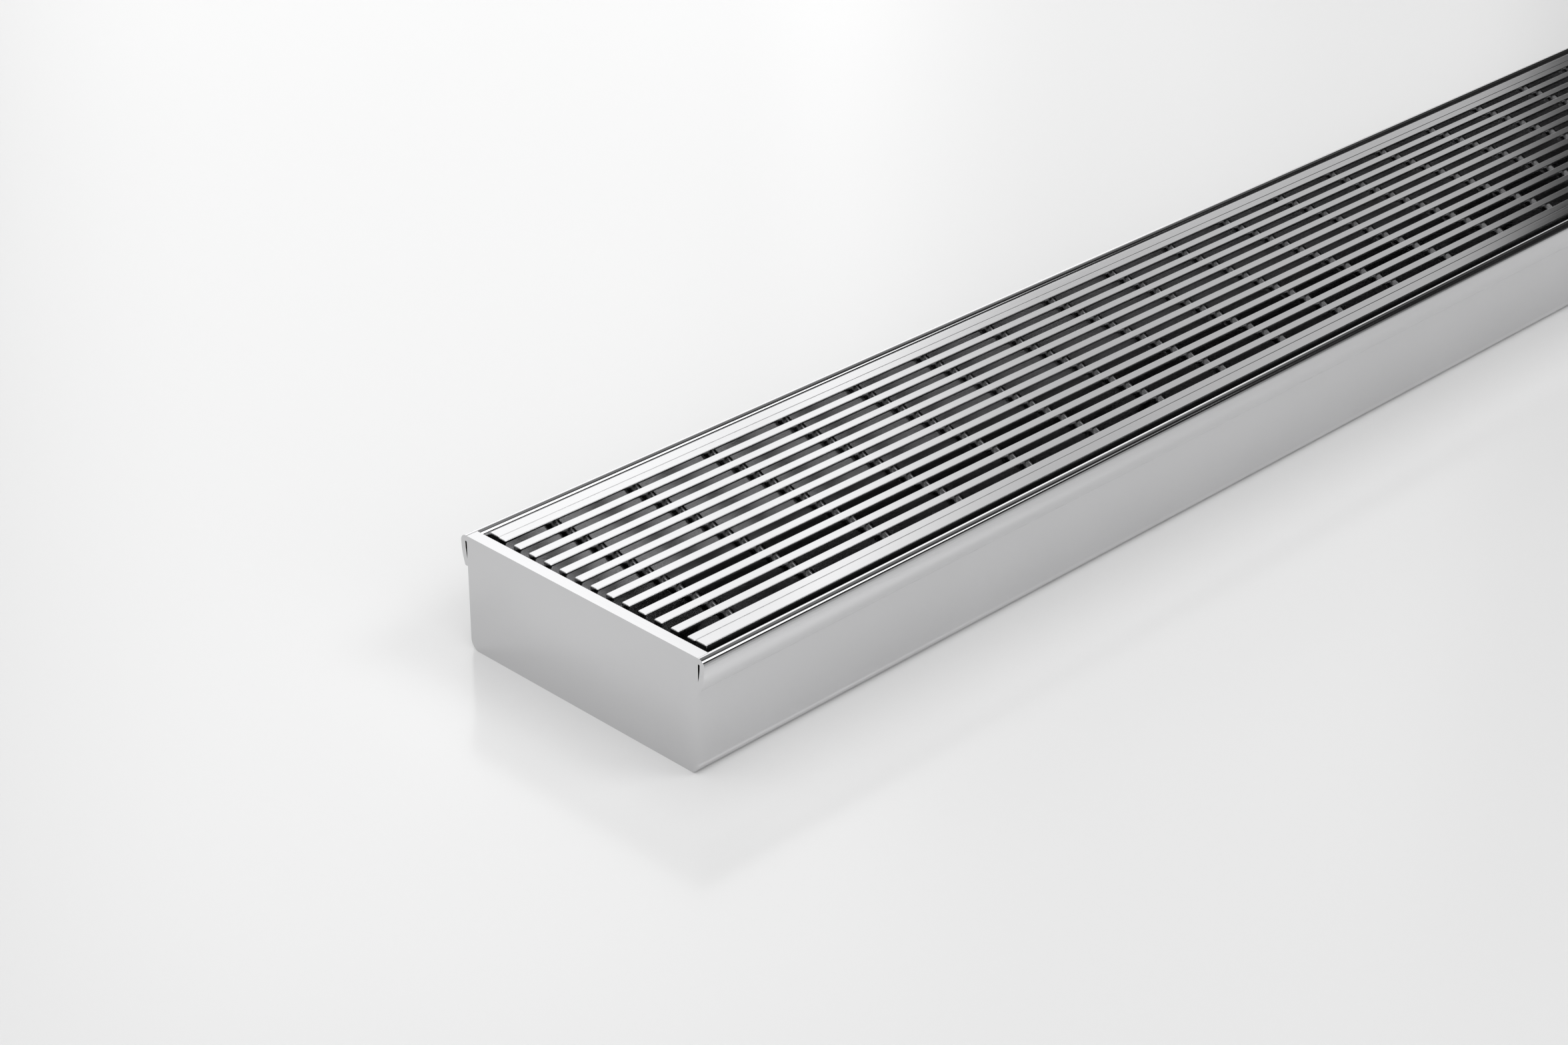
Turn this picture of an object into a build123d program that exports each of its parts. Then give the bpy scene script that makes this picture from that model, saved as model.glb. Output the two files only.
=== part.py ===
"""Linear drain: a folded steel channel with hemmed rims, two end plates and a wedge wire grate.

X runs along the drain, Y across it and Z up. The origin is on the underside, in the middle.
"""
import os

from build123d import *

# Channel
drain_length = 914.0
drain_height = 37.5
sheet = 1.8
floor_bend_radius = 1.7
hem_slit_radius = 0.35
hem_depth = 10.0
lip_radius = 23.0
lip_edge_radius = 0.4
outlet_radius = 25.0
outlet_inset = 90.0

# End plates
end_plate_thickness = 4.0
end_plate_horn = 1.7

# Wedge wires
wire_count = 11
wire_width = 3.2
wire_height = 5.0
wire_foot_width = 1.2
wire_land = 0.6
slot_width = 3.3
top_edge_radius = 0.2
end_corner_radius = 0.5

# Cross rods
rod_diameter = 4.6
rod_inset = 28.2
rod_pitch = 31.7
weld_bite = 0.3

# Side bars and the feet welded under them
side_bar_width = 4.1
side_bar_depth = 12.0
side_bar_setback = 0.3
foot_count = 5
foot_length = 24.0
foot_inset = 20.0

# Clearances around the grate
wall_clearance = 1.3
end_clearance = 1.75

# Sizes that follow from the ones above
wire_pitch = wire_width + slot_width
edge_wire_y = (wire_count + 1) / 2 * wire_pitch
side_bar_inner_y = edge_wire_y + wire_width / 2
side_bar_y = side_bar_inner_y + side_bar_width / 2
grate_half_width = side_bar_inner_y + side_bar_width
wall_inner_y = grate_half_width + wall_clearance
wall_outer_y = wall_inner_y + sheet
hem_outer_radius = hem_slit_radius + sheet
hem_centre_y = wall_outer_y + hem_slit_radius
hem_centre_z = drain_height - hem_outer_radius
outer_bend_radius = floor_bend_radius + sheet
bend_centre_y = wall_inner_y - floor_bend_radius
outlet_x = drain_length / 2 - outlet_inset
wire_length = drain_length - 2 * (end_plate_thickness + end_clearance)
side_bar_length = wire_length - 2 * side_bar_setback
rod_centre_z = drain_height - wire_height - rod_diameter / 2 + weld_bite
rod_span = drain_length - 2 * rod_inset
rod_count = round(rod_span / rod_pitch) + 1
foot_height = drain_height - side_bar_depth - sheet
foot_span = side_bar_length - 2 * foot_inset - foot_length


def hem_arc(radius):
    """Arc of the hem from the top of the wall, over the rim and down to the lip."""
    start = (hem_centre_y - radius, hem_centre_z)
    return JernArc(start, (0, 1), radius, -180)


def sheet_half_section():
    """Section of half the channel, from the middle of the floor to where the lip begins."""
    under = Line((0, 0), (bend_centre_y, 0))
    outer_bend = JernArc(under @ 1, (1, 0), outer_bend_radius, 90)
    outer_hem = hem_arc(hem_slit_radius)
    outer_wall = Line(outer_bend @ 1, outer_hem @ 0)
    top = Line((0, sheet), (bend_centre_y, sheet))
    inner_bend = JernArc(top @ 1, (1, 0), floor_bend_radius, 90)
    inner_hem = hem_arc(hem_outer_radius)
    inner_wall = Line(inner_bend @ 1, inner_hem @ 0)
    lip_root = Line(outer_hem @ 1, inner_hem @ 1)
    middle = Line((0, 0), (0, sheet))
    outside = [under, outer_bend, outer_wall, outer_hem]
    inside = [top, inner_bend, inner_wall, inner_hem]
    return make_face(outside + inside + [lip_root, middle])


def lip_section():
    """Section of the lip, which curves in from the hem and lies on the wall below the slit."""
    ring = Circle(lip_radius) - Circle(lip_radius - sheet)
    ring = Pos(hem_centre_y + hem_outer_radius - lip_radius, hem_centre_z) * ring
    drop = hem_depth - hem_outer_radius
    window = Pos(wall_outer_y + hem_outer_radius, hem_centre_z - drop / 2)
    lip = ring & window * Rectangle(2 * hem_outer_radius, drop)
    outer_low = lip.vertices().group_by(Axis.Y)[0].sort_by(Axis.X)[-1]
    return fillet(outer_low, lip_edge_radius)


def channel():
    """Channel with hemmed rims and the outlet hole in its floor, folded from one sheet."""
    half = sheet_half_section() + lip_section()
    section = half + mirror(half, Plane.YZ)
    body = extrude(Plane.YZ * section, drain_length / 2, both=True)
    outlet = Pos(outlet_x, 0, sheet / 2) * Cylinder(outlet_radius, 2 * sheet)
    return body - outlet


def end_plate(side):
    """Plate welded in between the walls, flush with the end of the channel and with the rim."""
    height = drain_height - sheet
    middle = Pos(0, sheet + height / 2) * Rectangle(2 * wall_inner_y, height)
    floor_corners = middle.vertices().sort_by(Axis.Y)[:2]
    middle = fillet(floor_corners, floor_bend_radius)
    horn = Pos(0, hem_centre_z + hem_outer_radius / 2)
    horn = horn * Rectangle(2 * (wall_inner_y + end_plate_horn), hem_outer_radius)
    for across in (-1, 1):
        horn -= Pos(across * hem_centre_y, hem_centre_z) * Circle(hem_outer_radius)
    plate = extrude(Plane.YZ * (middle + horn), end_plate_thickness / 2, both=True)
    return Pos(side * (drain_length - end_plate_thickness) / 2, 0, 0) * plate


def wire_section():
    """Wedge section with its top face at zero height."""
    half_top = wire_width / 2
    half_foot = wire_foot_width / 2
    right = [(half_top, 0), (half_top, -wire_land), (half_foot, -wire_height)]
    left = [(-across, up) for across, up in reversed(right)]
    return make_face(Polyline(*right, *left, close=True))


def top_bar(length, width, depth):
    """Bar along the drain, under zero height, with the corners of its ends rounded."""
    return extrude(RectangleRounded(length, width, end_corner_radius), -depth)


def break_top_edges(bar):
    """Round all edges of the top face of a bar."""
    top_face = bar.faces().sort_by(Axis.Z)[-1]
    return fillet(top_face.edges(), top_edge_radius)


def wedge_wire(across):
    """One wedge wire, wide side up and level with the rim."""
    wedge = extrude(Plane.YZ * wire_section(), wire_length / 2, both=True)
    wire = wedge & top_bar(wire_length, wire_width, wire_height)
    return Pos(0, across, drain_height) * break_top_edges(wire)


def cross_rod(along, wires):
    """Round rod under the wires, notched where each wire is welded into it."""
    rod = Rot(90, 0, 0) * Cylinder(rod_diameter / 2, 2 * side_bar_inner_y)
    return Pos(along, 0, rod_centre_z) * rod - wires


def side_bar(side):
    """Flat bar on edge along one side of the grate, level with the wires."""
    bar = break_top_edges(top_bar(side_bar_length, side_bar_width, side_bar_depth))
    return Pos(0, side * side_bar_y, drain_height) * bar


def foot(side, along):
    """Block between a side bar and the floor, chamfered to clear the bend of the channel."""
    section = Pos(0, foot_height / 2) * Rectangle(side_bar_width, foot_height)
    outer_low = section.vertices().sort_by(Axis.Y)[:2].sort_by(Axis.X)[-1]
    section = chamfer(outer_low, floor_bend_radius)
    block = extrude(Plane.YZ * section, foot_length / 2, both=True)
    if side < 0:
        block = mirror(block, Plane.XZ)
    return Pos(along, side * side_bar_y, sheet) * block


def grate_wires():
    """All wedge wires by name: the single ones, then the two beside the side bars."""
    wires = {}
    for index in range(wire_count):
        across = (index - (wire_count - 1) / 2) * wire_pitch
        wires[f"wedge_wire_{index + 1:02d}"] = wedge_wire(across)
    wires["edge_wire_front"] = wedge_wire(-edge_wire_y)
    wires["edge_wire_back"] = wedge_wire(edge_wire_y)
    return wires


def cross_rods(wires):
    """All cross rods by name, evenly spaced between the two end insets."""
    rods = {}
    spacing = rod_span / (rod_count - 1)
    for index in range(rod_count):
        along = index * spacing - rod_span / 2
        rods[f"cross_rod_{index + 1:02d}"] = cross_rod(along, wires)
    return rods


def feet():
    """All feet by name, evenly spaced under both side bars."""
    blocks = {}
    for index in range(foot_count):
        along = (index / (foot_count - 1) - 0.5) * foot_span
        blocks[f"foot_front_{index + 1}"] = foot(-1, along)
        blocks[f"foot_back_{index + 1}"] = foot(1, along)
    return blocks


def drain():
    """Every piece of the drain by name."""
    wires = grate_wires()
    pieces = {
        "channel": channel(),
        "end_plate_left": end_plate(-1),
        "end_plate_right": end_plate(1),
        "side_bar_front": side_bar(-1),
        "side_bar_back": side_bar(1),
    }
    pieces.update(feet())
    pieces.update(wires)
    pieces.update(cross_rods(list(wires.values())))
    return pieces


os.makedirs("parts", exist_ok=True)
for name, piece in drain().items():
    export_step(piece, f"parts/{name}.step")
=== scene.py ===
"""Dresses a linear drain in stainless steel and sets it on a pale studio floor."""
import logging
import math
from dataclasses import dataclass, field
from enum import Enum

import bpy
from mathutils import Matrix, Vector


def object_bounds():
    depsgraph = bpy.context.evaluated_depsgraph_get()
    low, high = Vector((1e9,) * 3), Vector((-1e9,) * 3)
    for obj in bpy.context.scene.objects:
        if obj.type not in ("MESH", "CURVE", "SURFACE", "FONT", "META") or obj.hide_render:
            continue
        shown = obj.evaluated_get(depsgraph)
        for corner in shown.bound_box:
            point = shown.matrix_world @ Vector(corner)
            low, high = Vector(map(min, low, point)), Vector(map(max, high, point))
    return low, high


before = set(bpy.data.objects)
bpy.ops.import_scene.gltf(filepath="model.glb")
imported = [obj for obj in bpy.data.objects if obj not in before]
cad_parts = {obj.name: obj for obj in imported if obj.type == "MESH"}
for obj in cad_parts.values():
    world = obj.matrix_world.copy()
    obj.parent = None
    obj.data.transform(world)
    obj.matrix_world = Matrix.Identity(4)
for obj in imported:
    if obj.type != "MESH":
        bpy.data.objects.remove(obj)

CAD_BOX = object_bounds()
NOISE_SPAN = (0.3, 0.7)
log = logging.getLogger("drain")


class Grain(Enum):
    """Direction of the polishing lines, as the axis that they run along."""

    ALONG = 0
    ACROSS = 1


class Polish(Enum):
    """Faces of a piece that are polished. The others stay as they left the mill, rougher, and take a
    darker grey as painted shade.
    """

    ALL = "all faces"
    TOP = "faces that look up"
    OUTSIDE = "faces outside the trough of the channel"


class Nodes:
    """Small helpers that add shader nodes to one tree."""

    def __init__(self, tree: bpy.types.NodeTree) -> None:
        """Keep the node tree that the helpers add to."""
        self.tree = tree

    def add(self, kind: str) -> bpy.types.Node:
        """Return a new node of a kind."""
        return self.tree.nodes.new(kind)

    def link(self, value: object, slot: bpy.types.NodeSocket) -> None:
        """Join a socket to another, or set a number or a vector on it.

        Args:
            value: An output socket, a number or a vector.
            slot: The input that takes it.
        """
        if isinstance(value, bpy.types.NodeSocket):
            self.tree.links.new(value, slot)
        else:
            slot.default_value = value

    def math(self, operation: str, *values: object) -> bpy.types.NodeSocket:
        """Work out a number from others.

        Args:
            operation: Blender's name of the operation.
            values: Sockets or numbers that it takes.

        Returns:
            The result.
        """
        node = self.add("ShaderNodeMath")
        node.operation = operation
        for value, slot in zip(values, node.inputs):
            self.link(value, slot)
        return node.outputs[0]

    def vector(self, operation: str, *values: object) -> bpy.types.Node:
        """Work out a vector or a number from vectors.

        Args:
            operation: Blender's name of the operation.
            values: Sockets or vectors that it takes.

        Returns:
            The node, with its result at Vector or at Value.
        """
        node = self.add("ShaderNodeVectorMath")
        node.operation = operation
        for value, slot in zip(values, node.inputs):
            self.link(value, slot)
        return node

    def ramp(self, value: object, span: tuple[float, float], result: tuple[float, float],
             smooth: bool = False) -> bpy.types.NodeSocket:
        """Map a span of values to a result, held level beyond its ends.

        Args:
            value: Socket or number to map.
            span: Values at the two ends.
            result: What they become.
            smooth: Whether the slope fades in and out.

        Returns:
            The mapped value.
        """
        node = self.add("ShaderNodeMapRange")
        node.interpolation_type = "SMOOTHSTEP" if smooth else "LINEAR"
        self.link(value, node.inputs["Value"])
        node.inputs["From Min"].default_value = span[0]
        node.inputs["From Max"].default_value = span[1]
        node.inputs["To Min"].default_value = result[0]
        node.inputs["To Max"].default_value = result[1]
        return node.outputs["Result"]

    def noise(self, place: bpy.types.NodeSocket, scale: float, detail: float) -> bpy.types.NodeSocket:
        """Add soft noise.

        Args:
            place: Where the noise is looked up.
            scale: How many lumps there are to the unit.
            detail: How many finer layers lie on the first.

        Returns:
            The noise, mostly within NOISE_SPAN.
        """
        node = self.add("ShaderNodeTexNoise")
        self.link(place, node.inputs["Vector"])
        node.inputs["Scale"].default_value = scale
        node.inputs["Detail"].default_value = detail
        return node.outputs["Fac"]

    def mix(self, share: object, low: object, high: object) -> bpy.types.NodeSocket:
        """Mix two numbers.

        Args:
            share: 0 for low, 1 for high.
            low: Socket or number.
            high: Socket or number.

        Returns:
            The mixed number.
        """
        node = self.add("ShaderNodeMix")
        self.link(share, node.inputs["Factor"])
        self.link(low, node.inputs["A"])
        self.link(high, node.inputs["B"])
        return node.outputs["Result"]


@dataclass(frozen=True)
class Trough:
    """Box of the channel's inside, which no polishing wheel reaches, and which is painted darker as
    painted shade.

    Attributes:
        end_inset: From the end of the drain to just within the end plate's inner face.
        side_inset: From the outer side of the hem to the middle of the wall.
        bottom: Height of the middle of the floor sheet.
        rim_depth: From the top of the rim down to where its polish and its lighter grey start to
            fade.
        fade: Height over which the polish and the lighter grey fade into the painted shade.
    """

    end_inset: float = 0.0035
    side_inset: float = 0.0034
    bottom: float = 0.0009
    rim_depth: float = 0.0075
    fade: float = 0.002

    def mask(self, nodes: Nodes, place: bpy.types.NodeSocket) -> bpy.types.NodeSocket:
        """Tell the inside of the box from the outside.

        Args:
            nodes: Helpers of the material's node tree.
            place: Object coordinates of the point that is shaded.

        Returns:
            1 inside the box and 0 outside it.
        """
        half_length, half_width, rim_top = CAD_BOX[1]
        top = rim_top - self.rim_depth
        size = nodes.vector("ABSOLUTE", place).outputs["Vector"]
        split = nodes.add("ShaderNodeSeparateXYZ")
        nodes.link(size, split.inputs["Vector"])
        along = nodes.math("LESS_THAN", split.outputs["X"], half_length - self.end_inset)
        across = nodes.math("LESS_THAN", split.outputs["Y"], half_width - self.side_inset)
        above = nodes.math("GREATER_THAN", split.outputs["Z"], self.bottom)
        below = nodes.ramp(split.outputs["Z"], (top - self.fade, top), (1.0, 0.0))
        level = nodes.math("MULTIPLY", above, below)
        return nodes.math("MULTIPLY", nodes.math("MULTIPLY", along, across), level)


@dataclass(frozen=True)
class SteelFinish:
    """Stainless steel with fine polishing lines, and a darker grey as painted shade on the faces that
    aren't polished.

    Attributes:
        name: Name of the material.
        grey: Reflectance of the polished faces at a right angle.
        tint: Factor on blue, a little over 1 for the cold cast of steel.
        roughness: Middle roughness of the polished faces.
        spread: How far the roughness varies to each side of the middle.
        grain: Axis that the polishing lines run along.
        line_width: Spacing of the lines.
        line_length: Length of the lines.
        line_depth: Depth of the lines.
        line_detail: Finer layers in the lines.
        cloud: Size of the soft uneven patches left by the rolling mill.
        cloud_detail: Finer layers in the patches.
        cloud_depth: How far the patches vary the grey to each side, as a share of it.
        polish: Faces that are polished; the others are rougher and painted darker as painted shade.
        upward: Upward parts of a face's normal between which a polished, lighter top fades in over
            the painted shade of the sides.
        painted_shade_grey: Darker reflectance of the faces that aren't polished, painted shade on the
            sides and in the trough.
        mill_roughness: Roughness of the faces that aren't polished.
    """

    name: str
    grey: float = 0.62
    tint: float = 1.01
    roughness: float = 0.14
    spread: float = 0.02
    grain: Grain = Grain.ALONG
    line_width: float = 0.0004
    line_length: float = 0.03
    line_depth: float = 1.5e-6
    line_detail: float = 3.0
    cloud: float = 0.05
    cloud_detail: float = 2.0
    cloud_depth: float = 0.015
    polish: Polish = Polish.ALL
    upward: tuple[float, float] = (0.1, 0.6)
    painted_shade_grey: float = 0.42
    mill_roughness: float = 0.22

    def build(self) -> bpy.types.Material:
        """Make the material.

        Returns:
            The material, with its polishing lines and patches in object coordinates.
        """
        material = bpy.data.materials.new(self.name)
        material.use_nodes = True
        nodes = Nodes(material.node_tree)
        shader = material.node_tree.nodes["Principled BSDF"]
        shader.inputs["Metallic"].default_value = 1.0
        place = nodes.add("ShaderNodeTexCoord")
        stretch = nodes.vector("MULTIPLY", place.outputs["Object"], self._line_scale())
        lines = nodes.noise(stretch.outputs["Vector"], 1.0, self.line_detail)
        clouds = nodes.noise(place.outputs["Object"], 1.0 / self.cloud, self.cloud_detail)
        # 1 on the faces that aren't polished: they get the mill roughness and a darker grey as
        # painted shade.
        unpolished_and_shaded = self._unpolished_and_shaded(nodes, place)

        swing = nodes.ramp(lines, NOISE_SPAN, (-self.spread, self.spread))
        base = nodes.mix(unpolished_and_shaded, self.roughness, self.mill_roughness)
        nodes.link(nodes.math("ADD", base, swing), shader.inputs["Roughness"])

        patch = nodes.ramp(clouds, NOISE_SPAN, (1.0 - self.cloud_depth, 1.0 + self.cloud_depth))
        # Painted shade: the faces that aren't polished take the darker grey.
        grey = nodes.math("MULTIPLY", nodes.mix(unpolished_and_shaded, self.grey, self.painted_shade_grey), patch)
        blue = nodes.math("MULTIPLY", grey, self.tint)
        colour = nodes.add("ShaderNodeCombineColor")
        nodes.link(grey, colour.inputs["Red"])
        nodes.link(grey, colour.inputs["Green"])
        nodes.link(blue, colour.inputs["Blue"])
        nodes.link(colour.outputs["Color"], shader.inputs["Base Color"])

        bump = nodes.add("ShaderNodeBump")
        bump.inputs["Strength"].default_value = 1.0
        bump.inputs["Distance"].default_value = self.line_depth
        nodes.link(lines, bump.inputs["Height"])
        nodes.link(bump.outputs["Normal"], shader.inputs["Normal"])
        return material

    def _line_scale(self) -> Vector:
        """Work out how close the lines lie.

        Returns:
            Lines to the metre along each axis.
        """
        scale = [1.0 / self.line_width] * 3
        scale[self.grain.value] = 1.0 / self.line_length
        return Vector(scale)

    def _unpolished_and_shaded(self, nodes: Nodes, place: bpy.types.Node) -> object:
        """Tell the faces that the mill left, which take the darker grey as painted shade, from the
        polished ones.

        Args:
            nodes: Helpers of the material's node tree.
            place: Texture coordinates of the point that is shaded.

        Returns:
            Socket or number that is 1 on the faces that aren't polished and are painted darker as
            painted shade, and 0 on the others.
        """
        if self.polish is Polish.TOP:
            # Faces that don't look up are painted darker as painted shade.
            split = nodes.add("ShaderNodeSeparateXYZ")
            nodes.link(place.outputs["Normal"], split.inputs["Vector"])
            return nodes.ramp(split.outputs["Z"], self.upward, (1.0, 0.0))
        if self.polish is Polish.OUTSIDE:
            # The inside of the trough is painted darker as painted shade.
            return Trough().mask(nodes, place.outputs["Object"])
        return 0.0


def dress(node: str, material: bpy.types.Material) -> None:
    """Put one material on all of a CAD piece.

    Args:
        node: Name of the piece.
        material: Material for all of its slots.
    """
    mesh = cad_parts[node].data
    mesh.materials.clear()
    mesh.materials.append(material)
    log.info("dressed %s in %s", node, material.name)


def nodes_named(start: str) -> list[str]:
    """Return the names of the CAD pieces that begin with some text, in order."""
    return sorted(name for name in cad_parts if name.startswith(start))


@dataclass
class Channel:
    """The folded sheet and the end plates welded into it."""

    # Inside the trough, the sheet and the plates take the darker default grey as painted shade.
    sheet: SteelFinish = SteelFinish("channel_steel", roughness=0.1, polish=Polish.OUTSIDE)
    plate: SteelFinish = SteelFinish("plate_steel", roughness=0.13, polish=Polish.OUTSIDE,
                                     grain=Grain.ACROSS)

    def build(self) -> None:
        """Dress the sheet and both plates."""
        dress("channel", self.sheet.build())
        plate = self.plate.build()
        for node in nodes_named("end_plate"):
            dress(node, plate)


@dataclass
class Grate:
    """The wedge wires, the rods under them, the side bars and their feet."""

    # The wires' flanks and the bars' sides take a darker grey as painted shade.
    wire: SteelFinish = SteelFinish("wire_steel", roughness=0.13, polish=Polish.TOP,
                                    painted_shade_grey=0.5, mill_roughness=0.1)
    bar: SteelFinish = SteelFinish("bar_steel", roughness=0.13, polish=Polish.TOP)
    # The rods' dark grey is painted shade, for the dark marks that they leave in the slots.
    rod: SteelFinish = SteelFinish("rod_steel", grey=0.2, roughness=0.12, grain=Grain.ACROSS)

    def build(self) -> None:
        """Dress every piece of the grate."""
        wire = self.wire.build()
        for node in nodes_named("wedge_wire") + nodes_named("edge_wire"):
            dress(node, wire)
        bar = self.bar.build()
        for node in nodes_named("side_bar") + nodes_named("foot"):
            dress(node, bar)
        rod = self.rod.build()
        for node in nodes_named("cross_rod"):
            dress(node, rod)


@dataclass(frozen=True)
class Panel:
    """A soft bright panel of the studio, far away.

    Attributes:
        azimuth: Degrees from +X towards +Y to the middle of the panel.
        elevation: Degrees from the horizon up to the middle of the panel.
        half_width: Degrees from the middle to the side edges.
        half_height: Degrees from the middle to the upper and lower edges.
        soft_sides: Share of the half width over which each side fades, both ways.
        soft_ends: Share of the half height over which the top and bottom fade, both ways.
        light: Radiance of the panel.
        least_depth: Depth given to all that lies behind, which keeps it out of the panel.
    """

    azimuth: float
    elevation: float
    half_width: float
    half_height: float
    soft_sides: float
    soft_ends: float
    light: float
    least_depth: float = 0.001

    def radiance(self, nodes: Nodes, ray: bpy.types.NodeSocket) -> bpy.types.NodeSocket:
        """Shine the panel into the sky.

        Args:
            nodes: Helpers of the world's node tree.
            ray: Direction that is looked up.

        Returns:
            The panel's radiance in that direction.
        """
        turn = math.radians(self.azimuth)
        lift = math.radians(self.elevation)
        out = Vector((math.cos(turn), math.sin(turn), 0.0))
        side = Vector((-math.sin(turn), math.cos(turn), 0.0))
        top = Vector((0.0, 0.0, 1.0))
        towards = out * math.cos(lift) + top * math.sin(lift)
        up = top * math.cos(lift) - out * math.sin(lift)
        ahead = nodes.vector("DOT_PRODUCT", ray, towards).outputs["Value"]
        depth = nodes.math("MAXIMUM", ahead, self.least_depth)
        shape = self.light
        across = (side, self.half_width, self.soft_sides)
        upright = (up, self.half_height, self.soft_ends)
        for axis, half, soft in (across, upright):
            offset = nodes.vector("DOT_PRODUCT", ray, axis).outputs["Value"]
            offset = nodes.math("ABSOLUTE", nodes.math("DIVIDE", offset, depth))
            reach = math.tan(math.radians(half))
            edges = (reach * (1.0 - soft), reach * (1.0 + soft))
            shape = nodes.math("MULTIPLY", shape, nodes.ramp(offset, edges, (1.0, 0.0), True))
        return shape


def studio_panels() -> list[Panel]:
    """Set out the panels, most of them for one stretch of steel that mirrors them.

    Returns:
        All panels of the studio.
    """
    return [
        # Beyond the drain on the left, for the white tops near the camera
        Panel(azimuth=52.0, elevation=0.0, half_width=8.9, half_height=38.0,
              soft_sides=0.53, soft_ends=0.12, light=1.5),
        # Beyond the drain on the right, for the grey tops further along
        Panel(azimuth=37.5, elevation=0.0, half_width=7.0, half_height=36.0,
              soft_sides=0.15, soft_ends=0.15, light=0.65),
        # Low patch on the right one, for the tops in between
        Panel(azimuth=41.0, elevation=12.0, half_width=5.0, half_height=10.0,
              soft_sides=0.4, soft_ends=0.25, light=0.3),
        # High on the near side, for the white line on the rim and the channel's floor in the slots
        Panel(azimuth=-46.0, elevation=47.5, half_width=12.0, half_height=11.0,
              soft_sides=0.45, soft_ends=0.2, light=3.6),
        # High beyond the drain and faint, for the slots on the near side
        Panel(azimuth=33.0, elevation=52.0, half_width=18.0, half_height=14.0,
              soft_sides=0.5, soft_ends=0.5, light=0.25),
        # Low on the near side, for the lip and the wall
        Panel(azimuth=-70.0, elevation=4.0, half_width=30.0, half_height=16.0,
              soft_sides=0.3, soft_ends=0.3, light=0.45),
        # Broad main light, behind the camera and a little to its right
        Panel(azimuth=-122.0, elevation=36.0, half_width=42.0, half_height=23.0,
              soft_sides=0.25, soft_ends=0.25, light=1.55),
        # Past the far end, for tops seen from the near end
        Panel(azimuth=4.0, elevation=12.0, half_width=18.0, half_height=12.0,
              soft_sides=0.15, soft_ends=0.15, light=0.6),
        # Straight behind the drain, for tops seen from the front
        Panel(azimuth=95.0, elevation=14.0, half_width=25.0, half_height=16.0,
              soft_sides=0.2, soft_ends=0.2, light=0.8),
        # Behind on the left, for the floor before the end plate
        Panel(azimuth=150.0, elevation=20.0, half_width=35.0, half_height=20.0,
              soft_sides=0.4, soft_ends=0.4, light=0.7),
        # Overhead, for the floor and for tops seen from above
        Panel(azimuth=90.0, elevation=82.0, half_width=30.0, half_height=26.0,
              soft_sides=0.2, soft_ends=0.2, light=1.6),
        # Below the floor, only for views from below
        Panel(azimuth=0.0, elevation=-90.0, half_width=65.0, half_height=65.0,
              soft_sides=0.1, soft_ends=0.1, light=0.6),
    ]


@dataclass
class Studio:
    """Pale floor, soft panels round the drain and the camera.

    Attributes:
        fill: Radiance of the sky between the panels.
        panels: The panels that light the drain.
        floor_reach: Half the side of the square floor.
        floor_grey: Base colour of the floor.
        floor_roughness: Roughness of the floor's gloss.
        floor_ior: Refractive index of the floor's gloss.
        eye: Place of the camera.
        sight: Direction that it looks in.
        level: Direction of the picture's right side.
        lens: Focal length in mm.
        sensor: Width of the sensor in mm.
        near: Distance from which the camera sees.
    """

    fill: float = 0.02
    panels: list[Panel] = field(default_factory=studio_panels)
    floor_reach: float = 12.0
    floor_grey: float = 0.85
    floor_roughness: float = 0.15
    floor_ior: float = 1.5
    eye: Vector = Vector((-0.95116, -0.56721, 0.46973))
    sight: Vector = Vector((0.62514, 0.61649, -0.47869))
    level: Vector = Vector((0.70423, -0.70995, 0.00536))
    lens: float = 71.75
    sensor: float = 36.0
    near: float = 0.01

    def build(self) -> None:
        """Set the floor, the light and the camera."""
        self._floor()
        self._world()
        self._camera()

    def _floor(self) -> None:
        """Lay the floor under the drain."""
        reach = self.floor_reach
        corners = [(-reach, -reach, 0), (reach, -reach, 0), (reach, reach, 0), (-reach, reach, 0)]
        mesh = bpy.data.meshes.new("floor")
        mesh.from_pydata(corners, [], [(0, 1, 2, 3)])
        floor = bpy.data.objects.new("floor", mesh)
        bpy.context.scene.collection.objects.link(floor)
        material = bpy.data.materials.new("floor_paint")
        material.use_nodes = True
        shader = material.node_tree.nodes["Principled BSDF"]
        shader.inputs["Base Color"].default_value = (self.floor_grey,) * 3 + (1.0,)
        shader.inputs["Roughness"].default_value = self.floor_roughness
        shader.inputs["IOR"].default_value = self.floor_ior
        mesh.materials.append(material)
        log.info("floor laid")

    def _world(self) -> None:
        """Light the drain with the panels and a faint even fill."""
        world = bpy.data.worlds.new("studio")
        bpy.context.scene.world = world
        world.use_nodes = True
        nodes = Nodes(world.node_tree)
        background = world.node_tree.nodes["Background"]
        place = nodes.add("ShaderNodeTexCoord")
        total = self.fill
        for panel in self.panels:
            light = panel.radiance(nodes, place.outputs["Generated"])
            total = nodes.math("ADD", total, light)
        nodes.link(total, background.inputs["Strength"])
        background.inputs["Color"].default_value = (1.0, 1.0, 1.0, 1.0)
        log.info("studio lit by %d panels", len(self.panels))

    def _camera(self) -> None:
        """Place the camera at the eye of the photograph."""
        data = bpy.data.cameras.new("camera")
        data.lens = self.lens
        data.sensor_width = self.sensor
        data.clip_start = self.near
        camera = bpy.data.objects.new("camera", data)
        right = self.level.normalized()
        back = -self.sight.normalized()
        up = back.cross(right).normalized()
        turn = Matrix((right, up, back)).transposed().to_4x4()
        camera.matrix_world = Matrix.Translation(self.eye) @ turn
        bpy.context.scene.collection.objects.link(camera)
        bpy.context.scene.camera = camera
        bpy.context.scene.view_settings.view_transform = "Standard"
        log.info("camera placed")


def main() -> None:
    """Dress the drain, then set the studio round it."""
    logging.basicConfig(level=logging.INFO)
    Channel().build()
    Grate().build()
    Studio().build()


if __name__ == "__main__":
    main()
